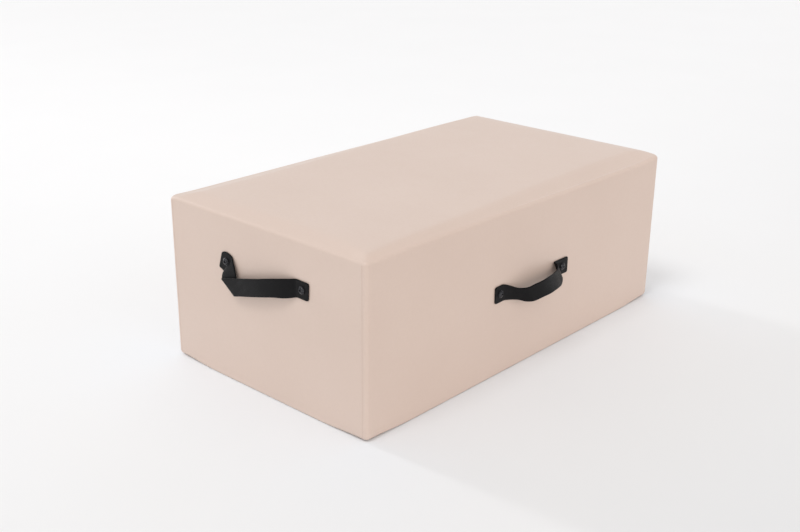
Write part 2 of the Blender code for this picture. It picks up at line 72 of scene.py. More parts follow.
def smoothstep(t):
    t = np.clip(t, 0.0, 1.0)
    return t * t * (3.0 - 2.0 * t)


def bell(x, width):
    return np.exp(-(x / width) ** 2)


# Camera: the photograph's own, worked out from the outline of the box

CAMERA_PLACE = (-1.4028, -1.1993, 0.8169)
CAMERA_TURN = (-47.863, 20.974, 0.5676)  # azimuth, elevation and roll in degrees
SENSOR = 36.0
LENS = 49.80


def make_camera():
    azimuth, elevation, roll = [math.radians(angle) for angle in CAMERA_TURN]
    back = Vector((
        math.sin(azimuth) * math.cos(elevation),
        -math.cos(azimuth) * math.cos(elevation),
        math.sin(elevation),
    ))
    right = Vector((0, 0, 1)).cross(back).normalized()
    up = back.cross(right)
    turn = Matrix((right, up, back)).transposed() @ Matrix.Rotation(roll, 3, "Z")
    data = bpy.data.cameras.new("camera")
    data.sensor_width = SENSOR
    data.lens = LENS
    camera = bpy.data.objects.new("camera", data)
    camera.matrix_world = Matrix.Translation(CAMERA_PLACE) @ turn.to_4x4()
    scene.collection.objects.link(camera)
    scene.camera = camera


# Materials

STITCH = 0.0042  # from one stitch of a seam to the next
RIB = 0.0011  # wavelengths of the webbing's weave
TWILL = 0.0016
PLY = 0.0013  # thickness of a ply of the boards
FLOOR_LEVEL = 0.883  # brightness of the floor under the middle of the box
FLOOR_PAINTED_LIGHT_GAIN = (0.0184, 0.0891)  # painted light: share of it gained per metre along X and Y
FLOOR_PAINTED_LIGHT_BOW = (0.0613, 0.0479)  # and lost per square metre, also painted light
FLOOR_HOLD = 1.5  # square of the distance that levels both out
FLOOR_COOL = (1.030, 1.062)  # more green and blue beside the box, against its warm light
FLOOR_COOL_REACH = 0.34


class Nodes:
    """A node tree with short calls to fill it."""

    def __init__(self, tree, space):
        self.tree = tree
        self.place = tree.nodes.new("ShaderNodeTexCoord").outputs[space]

    def add(self, kind, **settings):
        node = self.tree.nodes.new("ShaderNode" + kind)
        for key, value in settings.items():
            if key in node.inputs:
                self.put(node.inputs[key], value)
            else:
                setattr(node, key, value)
        return node

    def put(self, socket, value):
        if isinstance(value, bpy.types.NodeSocket):
            self.tree.links.new(value, socket)
        else:
            socket.default_value = value

    def math(self, operation, a, b=0.0):
        node = self.add("Math", operation=operation)
        self.put(node.inputs[0], a)
        self.put(node.inputs[1], b)
        return node.outputs[0]

    def plus(self, a, b):
        return self.math("ADD", a, b)

    def times(self, a, b):
        return self.math("MULTIPLY", a, b)

    def part(self, axis, source=None):
        """One coordinate of the place, or of another vector."""
        return self.add("SeparateXYZ", Vector=source or self.place).outputs[axis]

    def waves(self, value, length):
        """A sine of a value in metres, with the given wavelength."""
        return self.math("SINE", self.times(value, 2 * math.pi / length))

    def stretch(self, scale, source=None):
        return self.add("Mapping", Vector=source or self.place, Scale=scale).outputs[0]

    def noise(self, scale, detail=2.0, source=None, roughness=0.5):
        place = source or self.place
        node = self.add("TexNoise", Vector=place, Scale=scale, Detail=detail, Roughness=roughness)
        return node.outputs["Fac"]

    def cells(self, scale, source=None, feature="F1"):
        place = source or self.place
        return self.add("TexVoronoi", feature=feature, Vector=place, Scale=scale).outputs["Distance"]

    def range(self, value, low, high, to_low=0.0, to_high=1.0):
        node = self.add("MapRange", Value=value)
        for name, number in zip(("From Min", "From Max", "To Min", "To Max"), (low, high, to_low, to_high)):
            self.put(node.inputs[name], number)
        return node.outputs["Result"]

    def mix(self, share, a, b):
        node = self.add("Mix", data_type="RGBA", Factor=share)
        for socket, value in zip([s for s in node.inputs if s.type == "RGBA"], (a, b)):
            self.put(socket, (*value, 1.0) if isinstance(value, tuple) else value)
        return [s for s in node.outputs if s.type == "RGBA"][0]

    def bump(self, height, distance, strength=1.0, after=None):
        node = self.add("Bump", Strength=strength, Distance=distance, Height=height)
        if after is not None:
            self.put(node.inputs["Normal"], after)
        return node.outputs["Normal"]


class Finish(Nodes):
    """A material and its node tree."""

    def __init__(self, name):
        self.material = bpy.data.materials.new(name)
        self.material.use_nodes = True
        super().__init__(self.material.node_tree, "Object")

    def done(self, **sockets):
        """Set the shader's sockets, whose names have _ here for each space."""
        for name, value in sockets.items():
            self.put(self.tree.nodes["Principled BSDF"].inputs[name.replace("_", " ")], value)
        return self.material


def vinyl_material():
    """Satin upholstery vinyl. The point attribute seam holds metres from the nearest corner seam."""
    n = Finish("vinyl_satin")
    broad = n.noise(5.0, 3.0)
    fine = n.noise(260.0, 3.0)
    tone = n.range(broad, 0.3, 0.7)
    colour = n.mix(tone, (0.678, 0.540, 0.463), (0.698, 0.561, 0.484))
    colour = n.mix(n.range(fine, 0.35, 0.65, 0.0, 0.10), colour, (0.62, 0.48, 0.40))
    away = n.add("Attribute", attribute_name="seam").outputs["Fac"]
    colour = n.mix(n.range(away, 0.0009, 0.0001, 0.0, 0.35), colour, (0.50, 0.34, 0.28))
    grain = n.cells(1050.0, feature="SMOOTH_F1")
    pores = n.noise(2600.0, 2.0)
    height = n.plus(n.times(grain, 0.8), n.times(pores, 0.25))
    soft = n.bump(n.noise(16.0, 2.0), 0.0006, 0.35)
    pucker = n.times(n.waves(n.part(2), STITCH), n.range(away, 0.0036, 0.0006))
    soft = n.bump(pucker, 0.00007, 0.6, after=soft)
    normal = n.bump(height, 0.00009, 0.45, after=soft)
    rough = n.range(n.plus(n.noise(40.0, 3.0), fine), 0.6, 1.4, 0.35, 0.45)
    return n.done(Base_Color=colour, Roughness=rough, Normal=normal, IOR=1.54)


def webbing_material():
    """Coated webbing. The point attribute run holds metres along the strap and across it."""
    n = Finish("webbing_black")
    run = n.add("Attribute", attribute_name="run").outputs["Vector"]
    along, across = n.part(0, run), n.part(1, run)
    ribs = n.waves(along, RIB)
    twill = n.waves(n.plus(n.times(along, 0.7), across), TWILL)
    weave = n.times(ribs, twill)
    height = n.plus(n.times(weave, 0.5), n.times(ribs, 0.3))
    edge = n.range(n.math("ABSOLUTE", across), 0.0125, 0.0134)
    height = n.times(height, n.range(edge, 0.0, 1.0, 1.0, 0.35))
    fibre = n.noise(900.0, 3.0, source=n.stretch((0.25, 1.0, 1.0), run))
    wear = n.noise(60.0, 4.0, source=run)
    colour = n.mix(n.range(fibre, 0.3, 0.7), (0.0018, 0.0017, 0.0021), (0.0052, 0.0050, 0.0058))
    colour = n.mix(n.range(wear, 0.45, 0.75, 0.0, 0.25), colour, (0.011, 0.0105, 0.012))
    colour = n.mix(n.times(edge, 0.6), colour, (0.0016, 0.0016, 0.0019))
    normal = n.bump(height, 0.00010, 0.55)
    rough = n.range(wear, 0.3, 0.7, 0.40, 0.54)
    return n.done(Base_Color=colour, Roughness=rough, Normal=normal, IOR=1.24)


def metal_material(name, colour, worn, rough, scale=300.0):
    n = Finish(name)
    patches = n.noise(scale, 4.0)
    scratches = n.noise(scale * 4, 2.0, source=n.stretch((1.0, 6.0, 1.0)))
    tone = n.mix(n.range(patches, 0.4, 0.75), colour, worn)
    normal = n.bump(scratches, 0.00002, 0.3)
    uneven = n.range(patches, 0.3, 0.7, rough - 0.06, rough + 0.08)
    return n.done(Base_Color=tone, Metallic=1.0, Normal=normal, Roughness=uneven)


def plywood_material():
    n = Finish("plywood_birch")
    grain = n.noise(60.0, 5.0, source=n.stretch((0.12, 1.0, 1.0)), roughness=0.6)
    rings = n.noise(9.0, 2.0, source=n.stretch((0.25, 1.0, 1.0)))
    wave = n.math("SINE", n.times(rings, 60.0))
    plies = n.waves(n.part(2), 2 * PLY)
    colour = n.mix(n.range(grain, 0.3, 0.7), (0.46, 0.32, 0.19), (0.66, 0.51, 0.34))
    colour = n.mix(n.range(wave, -1.0, 1.0, 0.0, 0.25), colour, (0.40, 0.26, 0.14))
    colour = n.mix(n.range(plies, 0.2, 1.0, 0.0, 0.12), colour, (0.35, 0.22, 0.12))
    normal = n.bump(grain, 0.0002, 0.4)
    return n.done(Base_Color=colour, Roughness=n.range(grain, 0.3, 0.7, 0.62, 0.8), Normal=normal)


def foam_material():
    n = Finish("foam_open_cell")
    cell = n.cells(1400.0)
    patches = n.noise(30.0, 3.0)
    colour = n.mix(n.range(cell, 0.1, 0.6), (0.56, 0.50, 0.36), (0.82, 0.77, 0.62))
    colour = n.mix(n.range(patches, 0.4, 0.7, 0.0, 0.2), colour, (0.74, 0.64, 0.42))
    return n.done(Base_Color=colour, Roughness=0.95, Normal=n.bump(cell, 0.0004, 0.8))


def cloth_material():
    n = Finish("dust_cloth_black")
    fibre = n.noise(700.0, 4.0, source=n.stretch((0.3, 1.0, 1.0)))
    cross = n.noise(700.0, 4.0, source=n.stretch((1.0, 0.3, 1.0)))
    dots = n.cells(520.0)
    web = n.plus(fibre, cross)
    colour = n.mix(n.range(web, 0.8, 1.25), (0.012, 0.012, 0.013), (0.045, 0.045, 0.048))
    height = n.plus(web, n.times(dots, 0.8))
    normal = n.bump(height, 0.0002, 0.7)
    return n.done(Base_Color=colour, Roughness=0.88, Normal=normal, Sheen_Weight=0.15)


def rubber_material():
    n = Finish("rubber_black")
    speck = n.noise(1500.0, 3.0)
    dust = n.noise(45.0, 4.0)
    colour = n.mix(n.range(speck, 0.4, 0.6), (0.010, 0.010, 0.010), (0.024, 0.024, 0.024))
    colour = n.mix(n.range(dust, 0.5, 0.8, 0.0, 0.35), colour, (0.07, 0.068, 0.064))
    rough = n.range(dust, 0.3, 0.7, 0.66, 0.82)
    return n.done(Base_Color=colour, Roughness=rough, Normal=n.bump(speck, 0.00008, 0.6))


def floor_material():
    """Pale paper with painted light: its brightness changes gently with the place on the floor, lighter
    towards the back and darker towards the front, as the lamps' light would fall across a sweep.
    """
    n = Finish("floor_paper")
    places = n.part(0), n.part(1)
    held = []
    for place in places:  # about the place itself near the box, and levelling out far from it
        root = n.math("SQRT", n.plus(n.math("DIVIDE", n.times(place, place), FLOOR_HOLD), 1.0))
        held.append(n.math("DIVIDE", place, root))
    # painted light: the floor is lighter towards the back and darker towards the front
    fall = n.plus(*[n.times(place, gain) for place, gain in zip(held, FLOOR_PAINTED_LIGHT_GAIN)])
    for place, bow in zip(held, FLOOR_PAINTED_LIGHT_BOW):
        fall = n.math("SUBTRACT", fall, n.times(n.times(place, place), bow))
    fibre = n.range(n.noise(3.0, 3.0), 0.3, 0.7, -0.004, 0.004)
    level = n.times(n.plus(n.plus(fall, fibre), 1.0), FLOOR_LEVEL)
    outside = []
    for place, half in zip(places, (HALF_X, HALF_Y)):
        beyond = n.math("MAXIMUM", n.math("SUBTRACT", n.math("ABSOLUTE", place), half), 0.0)
        outside.append(n.times(beyond, beyond))
    beside = n.range(n.math("SQRT", n.plus(*outside)), FLOOR_COOL_REACH, 0.0)
    beside = n.times(beside, beside)
    green, blue = [n.times(level, n.range(beside, 0.0, 1.0, 1.0, most)) for most in FLOOR_COOL]
    colour = n.add("CombineColor", Red=level, Green=green, Blue=blue).outputs[0]
    normal = n.bump(n.noise(400.0, 2.0), 0.0001, 0.1)
    return n.done(Base_Color=colour, Roughness=0.95, Specular_IOR_Level=0.0, Normal=normal)


VINYL = vinyl_material()
WEBBING = webbing_material()
DARK_STEEL = metal_material("dark_steel_satin", (0.030, 0.030, 0.033), (0.130, 0.130, 0.138), 0.24, 500.0)
ZINC = metal_material("zinc_plate", (0.52, 0.52, 0.54), (0.66, 0.65, 0.62), 0.36)
STAPLE_WIRE = metal_material("staple_wire", (0.48, 0.48, 0.49), (0.62, 0.62, 0.62), 0.30)
PLYWOOD = plywood_material()
FOAM = foam_material()
CLOTH = cloth_material()
RUBBER = rubber_material()


def make_piece(name, points, faces, finish, smooth=True, sharp_over=None):
    mesh = bpy.data.meshes.new(name)
    mesh.from_pydata([tuple(p) for p in points], [], faces)
    mesh.materials.append(finish)
    if smooth:
        mesh.shade_smooth()
    if sharp_over is not None:
        mesh.set_sharp_from_angle(angle=math.radians(sharp_over))
    mesh.validate()
    piece = bpy.data.objects.new(name, mesh)
    scene.collection.objects.link(piece)
    return piece


def bands(rings, count, base=0):
    """Faces between rings of count points each, which start at the point base."""
    faces = []
    for start in range(base, base + (rings - 1) * count, count):
        for k in range(count):
            after = (k + 1) % count
            faces.append((start + k, start + after, start + count + after, start + count + k))
    return faces


# The padded cover: rings of points from the hem, up the sides, over the top edge and onto the seat.
# A column is one place round the box: the signs of its quadrant; "x" on an end face, "y" on a long one or
# "arc" on a corner's round; its place there, 0 in the middle of a face and 1 at the round, or the round's
# direction; and its distance from the round, or on the round its angle from the end face.

SEAM_INSET = 0.0011  # from where the round of a corner ends, onto the end face
SEAM_REACH = 0.0045  # length of a corner's round that the seam's distance counts
SEAM_DIP = (0.00038, 0.00055)  # groove of a seam: depth and half width
SEAM_SWELL = (0.00012, 0.0020, 0.0011)  # rise beside it: height, distance from the seam and half width
SEAM_FADE = 0.01  # added to the distance from the seam over the top edge, where the seam ends
ARC_STEPS = [math.radians(90 * k / 16) for k in range(17)]
END_STEPS = (  # distances of the columns from a corner's round, close together at the seam
    0.0003, 0.0006, 0.0009, 0.0011, 0.0013, 0.0016, 0.0019, 0.0023, 0.0028, 0.0035, 0.0045, 0.006, 0.008,
    0.0105, 0.0135, 0.017, 0.0215, 0.027, 0.034, 0.042, 0.051, 0.061, 0.073, 0.088, 0.108, 0.130, 0.153)
LONG_STEPS = (
    0.001, 0.0025, 0.0045, 0.007, 0.010, 0.0135, 0.0175, 0.022, 0.028, 0.035, 0.043, 0.052, 0.062, 0.074,
    0.088, 0.108, 0.130, 0.153)
COLUMN_STEP = 0.024  # past those, until the middle of the face is within LAST_STEP
LAST_STEP = 0.035
TOP_ALONG = 0.0085  # the crest's rounds at the corners, along the long faces
TOP_ACROSS = 0.0075  # and along the end faces
EDGE_RADIUS = 0.0065  # roll of the top edge
TILT_SPAN = 0.002  # inward from the crest, to measure how the seat meets it
NEAR_ROUND = 0.008  # reach beside a corner's round of what holds on it
BEAD_LEVEL = 0.0006  # lowest point of the bottom edge
BASE_BEAD = 0.0016  # roll of the bottom edge
CORNER_BEAD = 0.0092  # the same at a corner
HEM_SHARES = (1.0, 0.8, 0.6, 0.42, 0.27, 0.15, 0.06)  # rings of the hem, as shares of its width
HEM_RIPPLE = (0.00022, 260)  # height, and radians in a metre
HEM_PLEAT = (0.0006, 0.002, 0.004)  # at a corner: depth, distance from the seam and half width
SINK_LEFT = 0.0014  # how far the seat's foam has sunk under its highest, at the left
SINK_RIGHT = 0.0036  # and at the right
SLACK_SINK = 0.0016  # further fall of the seat towards its near corner, at the left of the front
SLACK_REACH = 0.060  # of that fall, and of the steeper drop to the edges at that corner
# Depth of the top edge's crest under TOP: (distance along the edge, depth), from the left or from the front
FRONT_CREST = (
    (0.0, 0.0138), (0.040, 0.0120), (0.100, 0.0106), (0.270, 0.0110), (0.350, 0.0118), (0.450, 0.0132),
    (0.580, 0.0144), (0.680, 0.0146), (0.725, 0.0142), (0.780, 0.0096))
BACK_CREST = (
    (0.0, 0.0092), (0.050, 0.0104), (0.350, 0.0102), (0.600, 0.0109), (0.690, 0.0124), (0.740, 0.0132),
    (0.780, 0.0112))
LEFT_CREST = (
    (0.0, 0.0112), (0.030, 0.0120), (0.060, 0.0112), (0.120, 0.0102), (0.320, 0.0098), (0.400, 0.0094),
    (0.442, 0.0084))
RIGHT_CREST = ((0.0, 0.0084), (0.442, 0.0074))
# Falls from the seat to the crest: how far from the outside one ends, its width and the bend at its top
SLACK_FALL = (0.0025, 0.014, 0.006)  # at the left of a long edge, as seen from outside
FIRM_FALL = (0.0080, 0.034, 0.006)  # at its right
FIRM_FROM = 0.05  # a long edge starts to turn firm this far from its left
FIRM_OVER = 0.62  # and is firm after this length
END_FALL = (0.004, 0.026, 0.008)
NEAR_END_FALL = (0.004, 0.009, 0.005)  # at the near corner
NEAR_NARROWER = 0.0075  # a long edge's fall is so much narrower at the near corner
FALL_POWER = 3  # joins the falls to two edges at a corner
SEAT_FLAT = 0.090  # from the outside to where the seat is level all round
SEAT_ROUND = 0.055  # rounds of the seat's rings there
SEAT_CROWDING = 1.5  # power that crowds the rings before it at the edge
SEAT_INSETS = (0.107, 0.125, 0.143, 0.161, 0.178, 0.194, 0.207)  # rings of the level middle
UNEVEN = ((9.0, 0.6), (23.0, 0.4))  # waves of the padding: how close, and their share
UNEVEN_HEIGHT = 0.00018
UNEVEN_INSET = 0.00010
UNEVEN_CORNER = 0.93  # share of the largest direction from which another counts
UNEVEN_FROM = 0.002  # height over the hem
SKIN = 0.0009  # thickness of the vinyl
FOAM_DEPTH = 0.0016  # from the outside of the cover to the foam
FOAM_LEVEL = 0.2525  # underside of the seat's foam


def cover_columns():
    rows = []
    reach = {"x": HALF_Y - SOFT_EDGE, "y": HALF_X - SOFT_EDGE}
    for quadrant, (sx, sy) in enumerate(((1, 1), (-1, 1), (-1, -1), (1, -1))):
        order = ("x", "y") if quadrant % 2 == 0 else ("y", "x")
        for side in (0, 1):
            face = order[side]
            steps = list(END_STEPS if face == "x" else LONG_STEPS)
            while steps[-1] + LAST_STEP < reach[face]:
                steps.append(steps[-1] + COLUMN_STEP)
            flat = [(sx, sy, face, 1 - s / reach[face], s) for s in steps]
            if side == 0:
                rows.append((sx, sy, face, 0.0, reach[face]))
                rows += reversed(flat)
                angles = ARC_STEPS if face == "x" else [math.pi / 2 - a for a in reversed(ARC_STEPS)]
                for angle in angles:
                    from_end = angle if face == "x" else math.pi / 2 - angle
                    rows.append((sx, sy, "arc", quadrant * math.pi / 2 + angle, from_end))
            else:
                rows += flat
    return rows


class Cover:
    def __init__(self):
        self.sx, self.sy, self.face, self.value, side = [np.array(part) for part in zip(*cover_columns())]
        self.arc = self.face == "arc"
        self.end = self.face == "x"
        self.long = self.face == "y"
        self.from_corner = np.where(self.arc, 0.0, side)
        self.weight = 1.0 - smoothstep(self.from_corner / CORNER_BLEND)
        arc_run = side * SEAM_REACH + SEAM_INSET
        end_run = SEAM_INSET - side
        long_run = side + math.pi / 2 * SEAM_REACH + SEAM_INSET
        self.seam = np.where(self.arc, arc_run, np.where(self.end, end_run, long_run))
        self.out_x = np.where(self.arc, np.cos(self.value), np.where(self.end, self.sx, 0.0))
        self.out_y = np.where(self.arc, np.sin(self.value), np.where(self.long, self.sy, 0.0))

    def mixed(self, side, corner):
        return side + (corner - side) * self.weight

    def near_arc(self, side, corner):
        """The sides' value, which turns into the corner's close to a corner's round."""
        share = np.where(self.arc, 1.0, bell(self.from_corner, NEAR_ROUND))
        return side + (corner - side) * share

    def ring(self, inset, radii, level):
        """A ring inset from the outside. At the corners inset is the same for all four."""
        inset = inset + np.zeros(len(self.sx))
        corner = inset[self.arc][0]
        centre_x = HALF_X - corner - radii[0]
        centre_y = HALF_Y - corner - radii[1]
        x = np.where(self.arc, self.sx * centre_x + radii[0] * np.cos(self.value),
                     np.where(self.end, self.sx * (HALF_X - inset), self.sx * centre_x * self.value))
        y = np.where(self.arc, self.sy * centre_y + radii[1] * np.sin(self.value),
                     np.where(self.end, self.sy * centre_y * self.value, self.sy * (HALF_Y - inset)))
        return np.stack([x, y, level + np.zeros(len(x))], 1)


def between(a, b, share):
    return tuple(p + (q - p) * share for p, q in zip(a, b))


def along(place, crest):
    return np.interp(place, [p for p, _ in crest], [d for _, d in crest])


def ramp(distance, crest, width, bend):
    """1 up to the distance crest from the outside, then evenly down to 0 over width, with a soft bend."""
    run = (crest + width - np.maximum(distance, crest)) / width
    soft = (bend / width) ** 2
    return (run + np.sqrt(run * run + soft)) / (1 + np.sqrt(1 + soft))


def seat_level(x, y):
    """Height of the cover's top: almost level in the middle, and falling to the sewn edges.

    At the left of the long edges, as seen from outside, the fall is steep and runs into the edge.
    At their right and at the ends it is gentler and ends in a narrow level strip. At the near corner
    both falls are steeper than elsewhere.
    """
    from_end = HALF_X - np.abs(x)
    from_side = HALF_Y - np.abs(y)
    from_left = np.where(x * y > 0, from_end, 2 * HALF_X - from_end)
    firm = smoothstep((from_left - FIRM_FROM) / FIRM_OVER)
    slack = bell(np.hypot(HALF_X + x, HALF_Y + y), SLACK_REACH)
    sink = SINK_LEFT + (SINK_RIGHT - SINK_LEFT) * (x / HALF_X + 1) / 2 + SLACK_SINK * slack
    side_crest = np.where(y < 0, along(HALF_X + x, FRONT_CREST), along(HALF_X + x, BACK_CREST))
    end_crest = np.where(x < 0, along(HALF_Y + y, LEFT_CREST), along(HALF_Y + y, RIGHT_CREST))
    ends_at, width, bend = between(SLACK_FALL, FIRM_FALL, firm)
    side = (side_crest - sink) * ramp(from_side, ends_at, width - NEAR_NARROWER * slack, bend)
    end = (end_crest - sink) * ramp(from_end, *between(END_FALL, NEAR_END_FALL, slack))
    return TOP - sink - (side ** FALL_POWER + end ** FALL_POWER) ** (1 / FALL_POWER)


def cover_rings(c):
    """The rings from the hem's inner edge to the middle of the seat, and their distances from the seam."""
    rings = []
    outward = np.stack([c.out_x, c.out_y, np.zeros(len(c.out_x))], 1)
    swell, aside, half = SEAM_SWELL
    seam = -SEAM_DIP[0] * bell(c.seam, SEAM_DIP[1]) + swell * bell(np.abs(c.seam) - aside, half)
    down = np.array([0.0, 0.0, -1.0])
    upright = (SOFT_EDGE, SOFT_EDGE)
    under = (HEM_RADIUS, HEM_RADIUS)

    # Hem, drawn in and pleated at the corners
    base = c.mixed(BASE_BEAD, CORNER_BEAD)
    depth, aside, half = HEM_PLEAT
    for share in HEM_SHARES:
        inset = base + (HEM - base) * share
        level = BEAD_LEVEL + (HEM_LEVEL - BEAD_LEVEL) * float(smoothstep(share / 0.5))
        ring = c.ring(inset, under, level)
        ripple = np.sin(c.from_corner * HEM_RIPPLE[1]) * HEM_RIPPLE[0] * share
        pleat = depth * bell(c.seam + aside, half) * share
        ring += down * (ripple * (c.from_corner > 0) + pleat)[:, None]
        rings.append(ring)
    # Roll of the bottom edge
    steps = 12
    for step in range(steps + 1):
        a = math.pi / 2 * step / steps
        level = BEAD_LEVEL + base * (1 - math.cos(a))
        ring = c.ring(base * (1 - math.sin(a)), between(under, upright, math.sin(a)), level)
        rings.append(ring + outward * (seam * math.sin(a))[:, None])

    # Sides
    top, roll_level, fades = top_rings(c, 0.0)
    start = BEAD_LEVEL + base
    steps = 30
    for step in range(1, steps):
        ring = c.ring(0.0, upright, start + (roll_level - start) * step / steps)
        rings.append(ring + outward * seam[:, None])
    away = np.abs(c.seam)
    aways = [away] * len(rings) + [away + SEAM_FADE * (1 - fade) for fade in fades]
    return rings + [ring + outward * (seam * fade)[:, None] for ring, fade in zip(top, fades)], aways


def top_rings(c, depth):
    """Rings over the top edge and onto the seat, depth inside the cover.

    Also the level at which the roll of the top edge starts, and how much of the seam each ring shows.
    """
    upright = (SOFT_EDGE - depth, SOFT_EDGE - depth)
    crest_round = (TOP_ALONG, TOP_ACROSS)
    crest = c.ring(EDGE_RADIUS, crest_round, 0.0)
    inner = c.ring(EDGE_RADIUS + TILT_SPAN, crest_round, 0.0)
    slope = (seat_level(inner[:, 0], inner[:, 1]) - seat_level(crest[:, 0], crest[:, 1])) / TILT_SPAN
    tilt = np.arctan(c.near_arc(slope, float(slope[c.arc].mean())))
    first = EDGE_RADIUS * (1 - np.sin(tilt))
    crest = c.ring(first, crest_round, 0.0)
    roll_level = seat_level(crest[:, 0], crest[:, 1]) - EDGE_RADIUS * np.cos(tilt)
    rings, fades = [], []
    steps = 16
    for step in range(steps + 1):
        share = step / steps
        a = (math.pi / 2 - tilt) * share
        radii = between(upright, crest_round, 1 - math.cos(math.pi / 2 * share))
        inset = EDGE_RADIUS - (EDGE_RADIUS - depth) * np.cos(a)
        rings.append(c.ring(inset, radii, roll_level + (EDGE_RADIUS - depth) * np.sin(a)))
        fades.append(float(1.0 - smoothstep(share / 0.5)))
    steps = 34
    shares = [(step / steps) ** SEAT_CROWDING for step in range(1, steps + 1)]
    insets = [first + (SEAT_FLAT - first) * share for share in shares]
    rounds = [TOP_ALONG + (SEAT_ROUND - TOP_ALONG) * share for share in shares]
    for inset in SEAT_INSETS:
        insets.append(inset)
        rounds.append(SEAT_ROUND * (HALF_Y - inset) / (HALF_Y - SEAT_FLAT))
    for inset, around in zip(insets, rounds):
        across = TOP_ACROSS + (SEAT_ROUND - TOP_ACROSS) * (around - TOP_ALONG) / (SEAT_ROUND - TOP_ALONG)
        ring = c.ring(inset, (around, max(across, around * 0.5)), 0.0)
        ring[:, 2] = seat_level(ring[:, 0], ring[:, 1]) - depth
        rings.append(ring)
        fades.append(0.0)
    return rings, roll_level, fades


def soften(points):
    """Small unevenness of foam under a tight cover, along each point's rough outward direction."""
    moved = points.copy()
    for index, p in enumerate(points):
        place = Vector(p)
        broad = sum(noise.noise(place * close) * share for close, share in UNEVEN)
        out = Vector((p[0] / HALF_X, p[1] / HALF_Y, (p[2] - TOP / 2) / (TOP / 2)))
        largest = max(abs(v) for v in out)
        out = Vector([v if abs(v) > UNEVEN_CORNER * largest else 0.0 for v in out]).normalized()
        if p[2] > HEM_LEVEL + UNEVEN_FROM:
            moved[index] = p + np.array(out) * (broad * UNEVEN_HEIGHT - UNEVEN_INSET)
    return moved


def rings_mesh(name, rings, points, finish, closed_below=False):
    """A piece from rings of points, closed over the last one."""
    count = len(rings[0])
    faces = bands(len(rings), count)
    last = (len(rings) - 1) * count
    faces.append(tuple(last + k for k in range(count)))
    if closed_below:
        faces.append(tuple(reversed(range(count))))
    return make_piece(name, points, faces, finish)


def make_cover(c):
    rings, aways = cover_rings(c)
    piece = rings_mesh("cover_skin", rings, soften(np.concatenate(rings)), VINYL)
    mark = piece.data.attributes.new("seam", "FLOAT", "POINT")
    mark.data.foreach_set("value", np.concatenate(aways).astype(np.float32))
    skin = piece.modifiers.new("thickness", "SOLIDIFY")
    skin.thickness = SKIN
    skin.offset = -1.0
    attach(piece, "box")
    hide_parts("cover")


def make_seat_foam(c):
    """The foam under the seat, which has sunk with it."""
    top = top_rings(c, FOAM_DEPTH)[0]
    upright = (SOFT_EDGE - FOAM_DEPTH, SOFT_EDGE - FOAM_DEPTH)
    rings = [c.ring(FOAM_DEPTH, upright, FOAM_LEVEL)] + top
    piece = rings_mesh("seat_foam", rings, np.concatenate(rings), FOAM, closed_below=True)
    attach(piece, "box")
    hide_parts("top_foam")


# Webbing. A row of a strap is the two ends of a line across it, in millimetres along, up and off the face.

FLAT = 1.2  # the middle plane of webbing that lies on the face
BOW_ROWS = (
    ((-99.5, 14.5, FLAT), (-99.5, -14.5, FLAT)),
    ((-88.5, 14.5, FLAT), (-88.0, -14.5, FLAT)),
    ((-78.3, 14.5, FLAT), (-73.2, -14.5, FLAT)),
    ((-64.8, 9.6, 4.6), (-48.5, -19.3, 7.3)),
    ((-50.6, 3.2, 11.5), (-32.0, -25.4, 14.8)),
    ((-36.5, 2.4, 19.4), (-19.1, -26.2, 21.7)),
    ((-21.5, 5.4, 23.7), (-2.2, -23.2, 26.5)),
    ((-5.2, 7.1, 26.0), (15.6, -21.4, 29.0)),
    ((14.2, 8.1, 24.6), (31.3, -20.4, 27.9)),
    ((35.0, 7.3, 19.9), (45.7, -21.0, 24.7)),
    ((52.3, 6.8, 14.1), (60.7, -21.5, 19.5)),
    ((59.3, 12.8, 9.2), (74.1, -15.5, 11.8)),
    ((62.3, 14.5, FLAT), (79.0, -14.5, FLAT)),
    ((82.0, 14.5, FLAT), (89.0, -14.5, FLAT)),
    ((102.5, 14.5, FLAT), (102.5, -14.5, FLAT)),
)
FOLD_ROWS = (
    ((-95.5, 14.6, FLAT), (-104.2, -13.6, FLAT)),
    ((-83.0, 15.5, FLAT), (-98.5, -15.3, FLAT)),
    ((-71.8, 11.2, FLAT), (-93.4, -18.0, FLAT)),
    ((-67.3, 4.6, 3.2), (-93.6, -20.4, 3.0)),
    ((-63.2, -2.6, 4.6), (-93.2, -22.6, 4.6)),
    ((-59.6, -11.0, 5.6), (-92.2, -24.4, 6.0)),
    ((-56.8, -20.5, 6.2), (-91.2, -25.8, 7.2)),
    ((-56.2, -31.0, 6.6), (-90.4, -26.6, 8.2)),
    ((-58.0, -41.5, 7.2), (-89.6, -27.0, 9.2)),
    ((-59.6, -48.2, 9.0), (-88.0, -26.6, 10.6)),
    ((-56.0, -47.6, 11.4), (-84.0, -25.0, 11.6)),
    ((-40.0, -42.9, 12.6), (-50.0, -15.6, 12.8)),
    ((-15.0, -36.0, 14.2), (-24.0, -8.4, 14.4)),
    ((10.0, -29.3, 14.6), (1.7, -1.4, 15.0)),
    ((34.0, -23.4, 12.4), (27.0, 5.4, 13.2)),
    ((51.5, -20.6, 9.0), (46.0, 9.6, 10.0)),
    ((64.0, -17.8, 5.0), (61.0, 12.4, 5.6)),
    ((75.0, -14.8, FLAT), (74.0, 14.4, FLAT)),
    ((86.5, -14.8, FLAT), (86.0, 14.2, FLAT)),
    ((99.5, -14.8, FLAT), (101.0, 14.2, FLAT)),
)
ROW_STEPS = 12  # points from one row to the next
SAMPLE = 0.0011  # spacing of a strap's cross-sections
END_CORNER = 0.0042  # rounding of the cut ends' corners
STRAP_RIM = 0.0008  # roll of a strap's edges
STRAP_FACE = ((0.86, 1.06), (0.6, 1.0), (0.2, 1.0))  # half a section's face, thicker near its edge
CUT_SHARE = 0.35  # share of its thickness that a strap has at a cut end
CUT_RISE = 0.0010  # length in which it would gain the whole thickness


